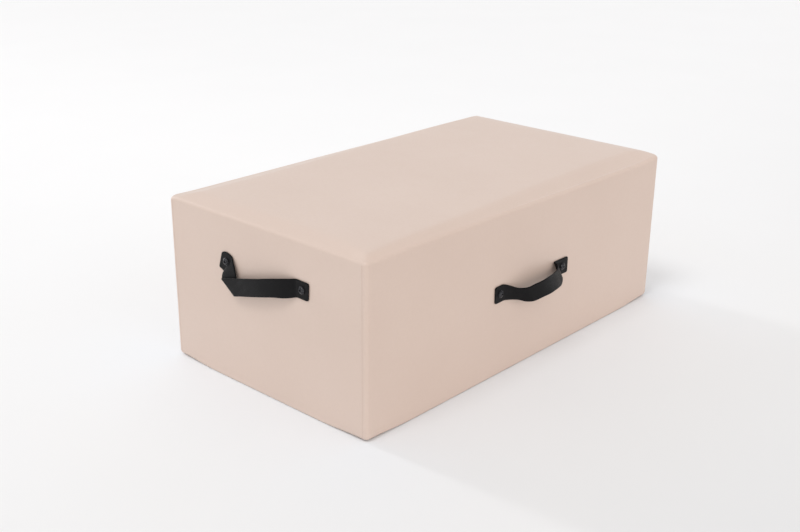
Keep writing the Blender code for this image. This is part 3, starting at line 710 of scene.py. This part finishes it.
def through(points, steps):
    """A smooth run through points that stays off the face."""
    points = np.array(points) / 1000
    held = np.concatenate([[2 * points[0] - points[1]], points, [2 * points[-1] - points[-2]]])
    run = []
    for a, b, c, d in zip(held, held[1:], held[2:], held[3:]):
        for step in range(steps):
            t = step / steps
            bend = (2 * a - 5 * b + 4 * c - d) * t * t + (3 * b - a - 3 * c + d) * t ** 3
            run.append(b + ((c - a) * t + bend) / 2)
    run = np.array(run + [held[-2]])
    run[:, 2] = np.maximum(run[:, 2], FLAT / 1000)
    return run


def run_of(edge):
    return np.concatenate([[0], np.cumsum(np.linalg.norm(np.diff(edge, axis=0), axis=1))])


def edges_of(rows):
    """Both edges of a strap's middle plane from cut end to cut end, and how far along each point is."""
    upper, lower = [through([row[side] for row in rows], ROW_STEPS) for side in (0, 1)]
    length = run_of((upper + lower) / 2)
    count = int(length[-1] / SAMPLE)
    near = END_CORNER * (1 - np.cos(np.linspace(0, math.pi / 2, 6)))
    wanted = np.concatenate([near, np.linspace(END_CORNER, length[-1] - END_CORNER, count)[1:-1],
                             length[-1] - near[::-1]])
    upper, lower = [np.stack([np.interp(wanted, length, edge[:, k]) for k in range(3)], 1)
                    for edge in (upper, lower)]
    return upper, lower, wanted


def cross_section():
    """Outline of a strap's section as (share of the half width, share of the half thickness)."""
    rim = STRAP_RIM / (STRAP_WIDTH / 2)
    one_side = []
    for angle in (-90, -60, -30, 0, 30, 60, 90):
        a = math.radians(angle)
        one_side.append((1 - rim + rim * math.cos(a), math.sin(a)))
    inner = list(STRAP_FACE) + [(-a, b) for a, b in reversed(STRAP_FACE)]
    other = [(-a, -b) for a, b in one_side]
    back = [(-a, -b) for a, b in inner]
    return one_side + inner + other + back


def make_strap(name, side, quarter, middle, rows):
    upper, lower, run = edges_of(rows)
    outline = cross_section()
    half = (upper - lower) / 2
    centre = (upper + lower) / 2
    along = np.gradient(centre, axis=0)
    normal = np.cross(along, half)
    normal /= np.linalg.norm(normal, axis=1)[:, None]
    lean = (run_of(upper) - run_of(lower)) / 2
    from_end = np.minimum(run, run[-1] - run)
    lost = END_CORNER - np.sqrt(np.maximum(0, END_CORNER ** 2 - np.maximum(0, END_CORNER - from_end) ** 2))
    narrow = 1 - lost / (STRAP_WIDTH / 2)
    points, marks = [], []
    for k in range(len(run)):
        thin = min(1.0, CUT_SHARE + from_end[k] / CUT_RISE)
        for a, b in outline:
            p = centre[k] + half[k] * a * narrow[k] + normal[k] * b * thin * STRAP_THICK / 2
            points.append((p[0], -p[2], p[1]))
            marks.append((run[k] + a * lean[k], a * STRAP_WIDTH / 2, 0.0))
    count = len(outline)
    faces = bands(len(run), count)
    faces.append(tuple(range(count)))
    faces.append(tuple((len(run) - 1) * count + j for j in range(count)))
    turn = Matrix.Translation(middle) @ Matrix.Rotation(math.pi / 2 * quarter, 4, "Z")
    points = [turn @ Vector(p) for p in points]
    piece = make_piece(name, points, faces, WEBBING, sharp_over=60)
    shape = bmesh.new()
    shape.from_mesh(piece.data)
    bmesh.ops.recalc_face_normals(shape, faces=shape.faces)
    shape.to_mesh(piece.data)
    shape.free()
    mark = piece.data.attributes.new("run", "FLOAT_VECTOR", "POINT")
    mark.data.foreach_set("vector", np.array(marks, np.float32).ravel())
    grip = side + "_handle"
    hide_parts(grip + "_grip", grip + "_left_end", grip + "_right_end")
    return piece, turn


# Fasteners and feet

BOLT_RADIUS = 0.003
BOLT_TAIL = -0.0224
WASHER_RADIUS = 0.0064
WASHER_THICK = 0.0008
WASHER_EDGE = (0.0003, 0.0002)  # rounding of its rims, across and up
HEAD_RADIUS = 0.0056
HEAD_HEIGHT = 0.0032  # with the washer
HEAD_FILLET = 0.0001
HEAD_ARC = (8, 65)  # degrees of the head's curve, from the washer up
HEX_RADIUS = 0.0020
HEX_DEPTH = 0.0015
HEX_CHAMFER = 0.00015
HEX_CONE = 0.0003  # depth of its pointed bottom
HEX_GROWTH = 1.07  # of the recess, over a hexagon inside HEX_RADIUS
BOLT_TURN = (0.35, 0.6)  # radians, of all bolts and of left and right apart
FOOT_RADIUS = 0.0190
FOOT_HEIGHT = 0.0030
FOOT_BORE = 0.00205
FOOT_SINK = ((0.0038, 0.0008), (0.0039, 0.0003), (0.0042, 0.0))  # (radius, height) of its countersink
FOOT_NECK = 0.00255  # height at which that starts
FOOT_EDGE = 0.0008
FOOT_TOP_EDGE = 0.0003
FOOT_GROOVES = (0.008, 0.012, 0.0155)  # radii
GROOVE_DEPTH = 0.00035
GROOVE_HALVES = (0.0005, 0.0003)  # half widths at the mouth and at the bottom
SCREW_LEVEL = 0.0008  # of a foot screw's head
SCREW_HEAD = 0.0035
SCREW_SHANK = ((0.00175, FOOT_NECK), (0.00175, 0.0070), (0.0006, 0.0098))  # (radius, height)
SCREW_STEPS = 40
CROSS_ARM = ((0.0004, 0.0004), (0.0019, 0.00035), (0.0019, -0.00035))  # a quarter of the recess
CROSS_DEPTH = 0.0012
CROSS_TAPER = 0.6


def lathe(profile, facets=48, radius_of=None):
    """Points and faces of a profile of (radius, height) turned about Z. Radius 0 closes an end."""
    points, faces, rings = [], [], []
    for index, (radius, height) in enumerate(profile):
        if radius == 0.0:
            rings.append([len(points)])
            points.append((0.0, 0.0, height))
            continue
        ring = []
        for step in range(facets):
            angle = 2 * math.pi * step / facets
            here = radius_of(index, radius, angle) if radius_of else radius
            ring.append(len(points))
            points.append((here * math.cos(angle), here * math.sin(angle), height))
        rings.append(ring)
    for lower, upper in zip(rings, rings[1:]):
        for step in range(facets):
            after = (step + 1) % facets
            corners = [lower[step % len(lower)], lower[after % len(lower)],
                       upper[after % len(upper)], upper[step % len(upper)]]
            faces.append(tuple(dict.fromkeys(corners)))
    return points, faces


def bolt_profile():
    """(radius, height) from the tail up to the bottom of the recess, and the first point of the recess."""
    seat = GAP + STRAP_THICK + GAP
    brim = seat + WASHER_THICK
    rim = seat + HEAD_HEIGHT
    across, up = WASHER_EDGE
    profile = [(0.0, BOLT_TAIL), (BOLT_RADIUS, BOLT_TAIL), (BOLT_RADIUS, seat),
               (WASHER_RADIUS - across, seat), (WASHER_RADIUS, seat + up), (WASHER_RADIUS, brim - up),
               (WASHER_RADIUS - across, brim), (HEAD_RADIUS + HEAD_FILLET, brim)]
    low, high = [math.radians(angle) for angle in HEAD_ARC]
    steps = 8
    for step in range(steps + 1):
        a = low + (high - low) * step / steps
        profile.append((HEAD_RADIUS * math.cos(a), brim + (rim - brim) * math.sin(a) / math.sin(high)))
    first_hex = len(profile)
    profile += [(HEX_RADIUS + HEX_CHAMFER, rim), (HEX_RADIUS, rim - HEX_CHAMFER),
                (HEX_RADIUS, rim - HEX_DEPTH), (0.0, rim - HEX_DEPTH - HEX_CONE)]
    return profile, first_hex


def hexagon(radius, angle):
    inner = radius * math.cos(math.pi / 6)
    return inner / math.cos(angle % (math.pi / 3) - math.pi / 6) * HEX_GROWTH


def make_bolts():
    profile, first_hex = bolt_profile()
    points, faces = lathe(profile, radius_of=lambda i, r, a: hexagon(r, a) if i > first_hex else r)
    for side, (quarter, middle) in FACES.items():
        turn = Matrix.Translation(middle) @ Matrix.Rotation(math.pi / 2 * quarter, 4, "Z")
        for hand, sign in (("left", -1), ("right", 1)):
            place = turn @ Matrix.Translation((sign * BOLT_REACH, 0, 0))
            place = place @ Matrix.Rotation(math.pi / 2, 4, "X")
            place = place @ Matrix.Rotation(BOLT_TURN[0] + BOLT_TURN[1] * sign + quarter, 4, "Z")
            placed = [place @ Vector(p) for p in points]
            node = f"{side}_handle_{hand}_bolt"
            piece = make_piece(node + "_head", placed, faces, DARK_STEEL, sharp_over=35)
            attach(piece, "box")
            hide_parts(node)


FACES = {
    "front": (0, Vector((SIDE_PLACE[0], -HALF_Y, SIDE_PLACE[1]))),
    "right": (1, Vector((HALF_X, END_PLACE[0], END_PLACE[1]))),
    "back": (2, Vector((-SIDE_PLACE[0], HALF_Y, SIDE_PLACE[1]))),
    "left": (3, Vector((-HALF_X, -END_PLACE[0], END_PLACE[1]))),
}


def make_straps():
    for side, (quarter, middle) in FACES.items():
        bowed = quarter % 2 == 0
        rows = BOW_ROWS if bowed else FOLD_ROWS
        piece, turn = make_strap(side + "_strap", side, quarter, middle, rows)
        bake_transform(piece)


def foot_profile():
    """(radius, height) round the section of a foot: its countersunk bore, three grooves and its rim."""
    top = FOOT_HEIGHT
    profile = [(FOOT_BORE, top), (FOOT_BORE, FOOT_NECK), *FOOT_SINK]
    wide, narrow = GROOVE_HALVES
    for r in FOOT_GROOVES:
        profile += [(r - wide, 0.0), (r - narrow, GROOVE_DEPTH), (r + narrow, GROOVE_DEPTH), (r + wide, 0.0)]
    steps = 5
    for step in range(steps + 1):
        a = math.pi / 2 * step / steps
        radius = FOOT_RADIUS - FOOT_EDGE + FOOT_EDGE * math.sin(a)
        profile.append((radius, FOOT_EDGE * (1 - math.cos(a))))
    profile += [(FOOT_RADIUS, top - FOOT_TOP_EDGE), (FOOT_RADIUS - FOOT_TOP_EDGE, top), (FOOT_BORE, top)]
    return profile


def make_feet():
    points, faces = lathe(foot_profile(), facets=64)
    for count in range(1, 5):
        low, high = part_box(f"foot_{count}")
        middle = (low + high) / 2
        placed = [(p[0] + middle.x, p[1] + middle.y, p[2]) for p in points]
        piece = make_piece(f"foot_pad_{count}", placed, faces, RUBBER, sharp_over=35)
        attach(piece, "box")
        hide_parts(f"foot_{count}")
        make_screw(f"foot_screw_{count}", f"foot_pad_screw_{count}", middle)


def make_screw(node, name, middle):
    """A countersunk screw, head down, with a cross recess."""
    shape = bmesh.new()

    def circle(radius, height):
        angles = [2 * math.pi * k / SCREW_STEPS for k in range(SCREW_STEPS)]
        return [shape.verts.new((radius * math.cos(a), radius * math.sin(a), height)) for a in angles]

    rim = circle(SCREW_HEAD, SCREW_LEVEL)
    cross = []
    for k in range(4):
        cos, sin = math.cos(-math.pi / 2 * k), math.sin(-math.pi / 2 * k)
        cross += [(x * cos - y * sin, x * sin + y * cos) for x, y in CROSS_ARM]
    count = len(cross)
    mouth = [shape.verts.new((x, y, SCREW_LEVEL)) for x, y in cross]
    floor = [shape.verts.new((x * CROSS_TAPER, y * CROSS_TAPER, SCREW_LEVEL + CROSS_DEPTH)) for x, y in cross]
    edges = [shape.edges.new(pair) for loop in (rim, mouth) for pair in zip(loop, loop[1:] + loop[:1])]
    bmesh.ops.triangle_fill(shape, edges=edges, use_beauty=True)
    for k in range(count):
        shape.faces.new((mouth[k], mouth[(k + 1) % count], floor[(k + 1) % count], floor[k]))
    shape.faces.new(floor)
    before = rim
    for radius, height in SCREW_SHANK:
        ring = circle(radius, height)
        for k in range(SCREW_STEPS):
            after = (k + 1) % SCREW_STEPS
            shape.faces.new((before[k], before[after], ring[after], ring[k]))
        before = ring
    shape.faces.new(before)
    bmesh.ops.recalc_face_normals(shape, faces=shape.faces)
    bmesh.ops.translate(shape, verts=shape.verts, vec=(middle.x, middle.y, 0.0))
    piece = make_piece(name, [], [], ZINC, smooth=False)
    shape.to_mesh(piece.data)
    shape.free()
    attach(piece, "box")
    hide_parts(node)


# Underside

CLOTH_X = 0.375
CLOTH_Y = 0.206
CLOTH_LEVEL = 0.0033
CLOTH_THICK = 0.0003
CLOTH_SQUARES = (150, 84)
CLOTH_WAVE = (0.00022, 18)  # height, and how close
CLOTH_CALM = 0.02  # rim over which the waves fade out
CLOTH_FOLD = 0.0140  # width of the rim that is turned in
CLOTH_STEP = (0.00022, 0.0012)  # from that rim to the rest: height and width
STAPLE_INSET = 0.0075
STAPLE_STEP = 0.046  # about this far apart
STAPLE_END = 0.03  # the first and last are this far from a corner of the cloth
STAPLE_PULL = (0.00018, 0.008)  # dent in the cloth: height and reach
STAPLE_PATH = (
    (-0.0058, 0.0008), (-0.0056, 0.0001), (-0.0050, -0.00015), (0.0, -0.0002),
    (0.0050, -0.00015), (0.0056, 0.0001), (0.0058, 0.0008))
STAPLE_HALF = 0.00045
STAPLE_THICK = 0.00025
STAPLE_TILT = (0.16, 2.4)  # radians: the most, and the step of its sine from staple to staple
STAPLE_LEVEL = CLOTH_LEVEL - 0.0001


def staple_spots():
    spots = []
    for reach, across, turned in ((CLOTH_X, CLOTH_Y, False), (CLOTH_Y, CLOTH_X, True)):
        count = round(2 * (reach - STAPLE_END) / STAPLE_STEP)
        for k in range(count + 1):
            u = (reach - STAPLE_END) * (2 * k / count - 1)
            for sign in (-1, 1):
                v = sign * (across - STAPLE_INSET)
                spots.append((v, u, True) if turned else (u, v, False))
    return spots


def make_dust_cloth():
    """A thin cloth with its rim turned in, pulled up a little at each staple."""
    columns, rows = CLOTH_SQUARES
    high, close = CLOTH_WAVE
    spots = np.array([(x, y) for x, y, _ in staple_spots()])
    points = []
    for j in range(rows + 1):
        for i in range(columns + 1):
            x = CLOTH_X * (2 * i / columns - 1)
            y = CLOTH_Y * (2 * j / rows - 1)
            near = np.min(np.hypot(spots[:, 0] - x, spots[:, 1] - y))
            rim = min(CLOTH_X - abs(x), CLOTH_Y - abs(y))
            wave = noise.noise(Vector((x * close, y * close, 0.0))) * high * min(1.0, rim / CLOTH_CALM)
            pull = STAPLE_PULL[0] * bell(near, STAPLE_PULL[1])
            turned = CLOTH_STEP[0] * float(1.0 - smoothstep((rim - CLOTH_FOLD) / CLOTH_STEP[1]))
            z = CLOTH_LEVEL + CLOTH_THICK + wave + pull - turned
            points.append((x, y, z))
    faces = []
    for j in range(rows):
        for i in range(columns):
            a = j * (columns + 1) + i
            faces.append((a, a + columns + 1, a + columns + 2, a + 1))
    piece = make_piece("dust_cloth", points, faces, CLOTH)
    skin = piece.modifiers.new("thickness", "SOLIDIFY")
    skin.thickness = CLOTH_THICK
    skin.offset = -1.0
    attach(piece, "box")
    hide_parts("dust_cover")


def make_staples():
    """Crowns of the staples, each a bent flat wire."""
    points, faces = [], []
    half, thick = STAPLE_HALF, STAPLE_THICK
    section = ((-half, 0), (half, 0), (half, -thick), (-half, -thick))
    for index, (x, y, turned) in enumerate(staple_spots()):
        angle = (math.pi / 2 if turned else 0.0) + STAPLE_TILT[0] * math.sin(index * STAPLE_TILT[1])
        cos, sin = math.cos(angle), math.sin(angle)
        base = len(points)
        for u, w in STAPLE_PATH:
            for v, lift in section:
                points.append((x + u * cos - v * sin, y + u * sin + v * cos, STAPLE_LEVEL + w + lift))
        faces += bands(len(STAPLE_PATH), len(section), base)
    piece = make_piece("hem_staples", points, faces, STAPLE_WIRE, smooth=False)
    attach(piece, "box")


DRESS = (
    # a word in a CAD node's name, and its material; the first that fits counts
    ("_board", PLYWOOD), ("_wall", PLYWOOD), ("centre_rib", PLYWOOD), ("corner_block", PLYWOOD),
    ("foam", FOAM), ("tee_nut", ZINC), ("screw", ZINC), ("bolt", DARK_STEEL), ("foot", RUBBER),
    ("dust_cover", CLOTH), ("cover", VINYL), ("handle", WEBBING),
)


def dress_nodes():
    """Every CAD node gets its material, also those that the pieces of this script stand for."""
    for name in nodes:
        materials = nodes[name].data.materials
        materials.clear()
        materials.append(next(finish for word, finish in DRESS if word in name))


# Floor and light

FLOOR_REACH = 40.0


def make_floor():
    corners = [(x * FLOOR_REACH, y * FLOOR_REACH, 0) for x, y in ((-1, -1), (1, -1), (1, 1), (-1, 1))]
    piece = make_piece("floor", corners, [(0, 1, 2, 3)], floor_material(), smooth=False)


SUNS = (
    # name, where the light travels, height in degrees, strength, width in degrees
    ("back_low", (0.08, -1.0), 12, 0.310, 4),
    ("back", (0.08, -1.0), 24, 0.300, 6),
    ("left_high", (1.0, 0.0), 60, 0.690, 20),
)
WORLD_LIGHT = 0.625
FRONT_TINT = (1.05, 0.992, 0.955)
BACK_TINT = (0.955, 1.0, 1.045)
LOBES = (
    # direction, how narrow, strength
    ((0.1, 1.0, 0.25), 8, 0.420), ((0.7, 0.6, 0.35), 8, 0.480), ((0.0, 0.0, 1.0), 2, 0.100),
    ((0.0, -1.0, 0.0), 5, 1.300), ((-1.0, 0.0, 0.20), 3, 0.265),
)
BACKDROP = (0.574, 0.920)  # brightness high up and at the horizon
BACKDROP_REACH = 0.75  # upward part of the direction from which the first holds


def make_suns():
    for name, (x, y), height, strength, width in SUNS:
        data = bpy.data.lights.new(name, "SUN")
        data.energy = strength
        data.angle = math.radians(width)
        lamp = bpy.data.objects.new(name, data)
        travel = Vector((x, y, 0)).normalized()
        travel.z = -math.tan(math.radians(height))
        lamp.rotation_euler = travel.to_track_quat("-Z", "Y").to_euler()
        scene.collection.objects.link(lamp)


def make_world():
    """Even light with a few broad lobes, and a plain backdrop for camera, glossy and transmission rays."""
    world = bpy.data.worlds.new("studio")
    scene.world = world
    world.use_nodes = True
    n = Nodes(world.node_tree, "Generated")
    total = WORLD_LIGHT
    for direction, narrow, strength in LOBES:
        dot = n.add("VectorMath", operation="DOT_PRODUCT")
        n.put(dot.inputs[0], n.place)
        n.put(dot.inputs[1], Vector(direction).normalized())
        lobe = n.math("POWER", n.math("MAXIMUM", dot.outputs["Value"], 0.0), narrow)
        total = n.plus(total, n.times(lobe, strength))
    tint = n.mix(n.range(n.part(1), -1.0, 1.0), FRONT_TINT, BACK_TINT)
    light = n.add("Background", Color=tint, Strength=total)
    backdrop = n.tree.nodes["Background"]
    n.put(backdrop.inputs["Color"], (1, 1, 1, 1))
    n.put(backdrop.inputs["Strength"], n.range(n.part(2), BACKDROP_REACH, 0.0, *BACKDROP))
    path = n.add("LightPath").outputs
    seen = n.math("MAXIMUM", path["Is Camera Ray"], path["Is Glossy Ray"])
    seen = n.math("MAXIMUM", seen, path["Is Transmission Ray"])
    mix = n.add("MixShader")
    for socket, value in zip(mix.inputs, (seen, light.outputs[0], backdrop.outputs[0])):
        n.put(socket, value)
    n.put(n.tree.nodes["World Output"].inputs["Surface"], mix.outputs[0])


make_camera()
dress_nodes()
cover = Cover()
make_cover(cover)
make_seat_foam(cover)
make_straps()
make_bolts()
make_feet()
make_dust_cloth()
make_staples()
make_floor()
make_suns()
make_world()
scene.view_settings.view_transform = "Standard"
